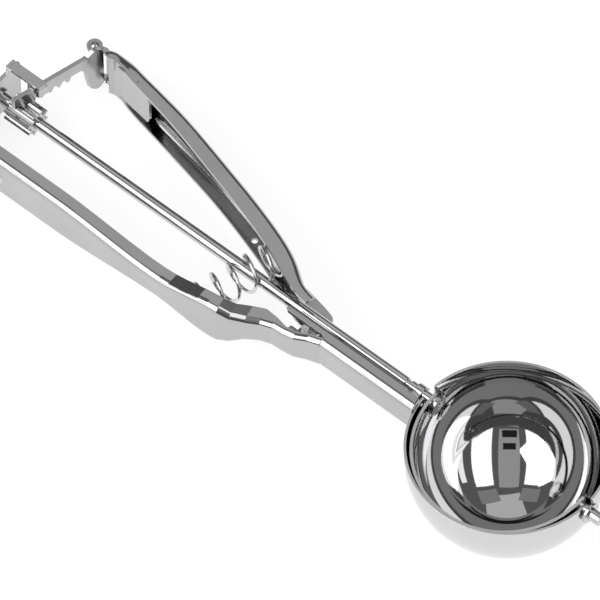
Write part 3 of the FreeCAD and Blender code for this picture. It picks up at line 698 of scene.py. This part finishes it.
@dataclass
class Studio:
    """White floor, soft lamps, grey cards and the camera."""

    back: Vector = field(default_factory=lambda: Vector((0.2725, -0.4290, 0.8612)).normalized())
    upward: Vector = field(default_factory=lambda: Vector((-0.5962, 0.6270, 0.5011)).normalized())
    aim: tuple[float, float, float] = (-83.1, 2.2, 0.0)
    field_width: float = 0.1802
    distance: float = 3.0
    floor_size: float = 6.0
    floor_drop: float = 0.0002
    floor_grey: float = 0.32
    floor_glow: float = 0.78
    unseen_fill: float = 0.45
    side_lamp: float = 31.0
    side_lamp_size: tuple[float, float] = (0.50, 1.55)
    side_lamp_radiance: float = 1.7
    card_distance: float = 1.3
    gap_distance: float = 1.2
    high_panel: tuple[float, float] = (31.0, 50.0)
    high_panel_size: tuple[float, float] = (0.48, 0.36)
    high_panel_grey: float = 0.28
    strip: float = 56.0
    strip_size: tuple[float, float] = (0.16, 1.3)
    strip_grey: float = 1.3
    room_radius: float = 2.4
    room_grey: float = 0.13

    def build(self) -> None:
        """Set up floor, world, lamps, cards and camera."""
        self._floor()
        self._world()
        self._lamps()
        self._cards()
        self._camera()
        settings = bpy.context.scene.view_settings
        settings.view_transform = "Standard"

    def _seen_ray(self, tree: bpy.types.NodeTree) -> bpy.types.NodeSocket:
        """One for rays of the camera, of a mirror and through glass, nought for the rest."""
        path = tree.nodes.new("ShaderNodeLightPath")
        total = path.outputs["Is Camera Ray"]
        for name in ("Is Glossy Ray", "Is Transmission Ray"):
            node = tree.nodes.new("ShaderNodeMath")
            node.operation = "MAXIMUM"
            tree.links.new(total, node.inputs[0])
            tree.links.new(path.outputs[name], node.inputs[1])
            total = node.outputs[0]
        return total

    def _floor(self) -> None:
        """White floor that keeps the scoop's shadow."""
        deselect_all()
        bpy.ops.mesh.primitive_plane_add(size=self.floor_size, location=(0, 0, -self.floor_drop))
        floor = name_new_piece("white_floor")
        material = bpy.data.materials.new("white_floor")
        material.use_nodes = True
        tree = material.node_tree
        tree.nodes.remove(tree.nodes["Principled BSDF"])
        diffuse = tree.nodes.new("ShaderNodeBsdfDiffuse")
        diffuse.inputs["Color"].default_value = (*[self.floor_grey] * 3, 1)
        glow = tree.nodes.new("ShaderNodeEmission")
        share = tree.nodes.new("ShaderNodeMath")
        share.operation = "MULTIPLY"
        share.inputs[1].default_value = self.floor_glow
        tree.links.new(self._seen_ray(tree), share.inputs[0])
        tree.links.new(share.outputs[0], glow.inputs["Strength"])
        both = tree.nodes.new("ShaderNodeAddShader")
        tree.links.new(diffuse.outputs[0], both.inputs[0])
        tree.links.new(glow.outputs[0], both.inputs[1])
        tree.links.new(both.outputs[0], tree.nodes["Material Output"].inputs["Surface"])
        floor.data.materials.append(material)
        log.info("white_floor laid")

    def _world(self) -> None:
        """White background, with a soft even fill for what isn't seen directly."""
        world = bpy.data.worlds.new("white_studio")
        bpy.context.scene.world = world
        world.use_nodes = True
        tree = world.node_tree
        background = tree.nodes["Background"]
        background.inputs["Color"].default_value = (1, 1, 1, 1)
        spread = tree.nodes.new("ShaderNodeMapRange")
        spread.inputs["To Min"].default_value = self.unseen_fill
        spread.inputs["To Max"].default_value = 1.0
        tree.links.new(self._seen_ray(tree), spread.inputs["Value"])
        tree.links.new(spread.outputs[0], background.inputs["Strength"])
        log.info("white_studio world set")

    def _beside(
        self, across: float, above: float, distance: float = 1.25
    ) -> tuple[float, float, float]:
        """Place beside the camera's direction, by two angles in degrees across and above it."""
        right = self.upward.cross(self.back).normalized()
        upright = self.back.cross(right)
        aside = math.tan(math.radians(across))
        high = math.tan(math.radians(above))
        return tuple((self.back + right * aside + upright * high).normalized() * distance)

    def _lamps(self) -> None:
        """Soft boxes: a large one in front of the handle, and tall ones beside the camera."""
        front = Card("front_soft_box", (-0.45, -0.98, 0.70), (1.3, 1.25), 2.0)
        lamps = [(front, Vector((0.0, 0.0, 1.0)))]
        for name, across in (("left_soft_box", -self.side_lamp), ("right_soft_box", self.side_lamp)):
            place = self._beside(across, 2.0)
            lamp_card = Card(name, place, self.side_lamp_size, self.side_lamp_radiance)
            lamps.append((lamp_card, self.upward))
        for card, upright in lamps:
            data = bpy.data.lights.new(card.name, "AREA")
            data.shape = "RECTANGLE"
            data.size, data.size_y = card.size
            data.energy = card.grey * math.pi * card.size[0] * card.size[1]
            lamp = bpy.data.objects.new(card.name, data)
            bpy.context.scene.collection.objects.link(lamp)
            lamp.matrix_world = card.matrix(upright)
            lamp.visible_camera = False
            log.info("%s hung", card.name)

    def _cards(self) -> None:
        """Grey and white cards that give the polished steel something to mirror."""
        near, far = self.gap_distance, self.card_distance
        cards = [
            Card("grey_ceiling", (-0.55, 0.64, 1.23), (1.0, 1.0), 0.62),
            Card("grey_column", self._beside(0.0, 4.0, far), (0.56, 1.7), 0.42),
            Card("lower_column_gap", self._beside(0.0, -24.0, near), (0.34, 0.17), 0.02),
            Card("upper_column_gap", self._beside(0.0, -10.0, near), (0.30, 0.15), 0.02),
        ]
        aside, above = self.high_panel
        for side, sign in (("left", -1), ("right", 1)):
            place = self._beside(sign * aside, above, far)
            cards.append(Card(f"{side}_high_panel", place, self.high_panel_size, self.high_panel_grey))
        for side, sign in (("left", -1), ("right", 1)):
            place = self._beside(sign * self.strip, 0.0, far)
            cards.append(Card(f"{side}_strip", place, self.strip_size, self.strip_grey))
        for card in cards:
            deselect_all()
            bpy.ops.mesh.primitive_plane_add(size=1.0)
            panel = name_new_piece(card.name)
            panel.matrix_world = card.matrix(self.upward) @ Matrix.Diagonal((*card.size, 1.0, 1.0))
            self._hang(panel, card.grey)
        deselect_all()
        bpy.ops.mesh.primitive_uv_sphere_add(segments=48, ring_count=24, radius=self.room_radius)
        self._hang(name_new_piece("grey_room"), self.room_grey)

    def _hang(self, panel: bpy.types.Object, grey: float) -> None:
        """Let a panel be seen in the steel only.

        Args:
            panel: Its mesh, in place.
            grey: How light it is, where 1 is white.
        """
        material = bpy.data.materials.new(panel.name)
        material.use_nodes = True
        tree = material.node_tree
        tree.nodes.remove(tree.nodes["Principled BSDF"])
        paint = tree.nodes.new("ShaderNodeEmission")
        paint.inputs["Strength"].default_value = grey
        tree.links.new(paint.outputs[0], tree.nodes["Material Output"].inputs["Surface"])
        panel.data.materials.append(material)
        panel.visible_camera = False
        panel.visible_shadow = False
        panel.visible_diffuse = False
        log.info("%s hung", panel.name)

    def _camera(self) -> None:
        """Long lens at the photographed angle."""
        data = bpy.data.cameras.new("long_lens")
        data.sensor_width = 36.0
        data.lens = data.sensor_width * self.distance / self.field_width
        data.clip_start = 0.1
        data.clip_end = 50.0
        camera = bpy.data.objects.new("long_lens", data)
        bpy.context.scene.collection.objects.link(camera)
        right = self.upward.cross(self.back).normalized()
        upright = self.back.cross(right)
        turn = Matrix((right, upright, self.back)).transposed()
        stand = RESTING.point(*self.aim) + self.back * self.distance
        camera.matrix_world = Matrix.Translation(stand) @ turn.to_4x4()
        bpy.context.scene.camera = camera
        log.info("long_lens set")


def main() -> None:
    """Build every piece in order."""
    logging.basicConfig(level=logging.INFO)
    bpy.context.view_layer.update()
    for part in (Bowl(), Spring(), Handles(), Drive(), Studio()):
        part.build()
        log.info("%s done", type(part).__name__)


if __name__ == "__main__":
    main()
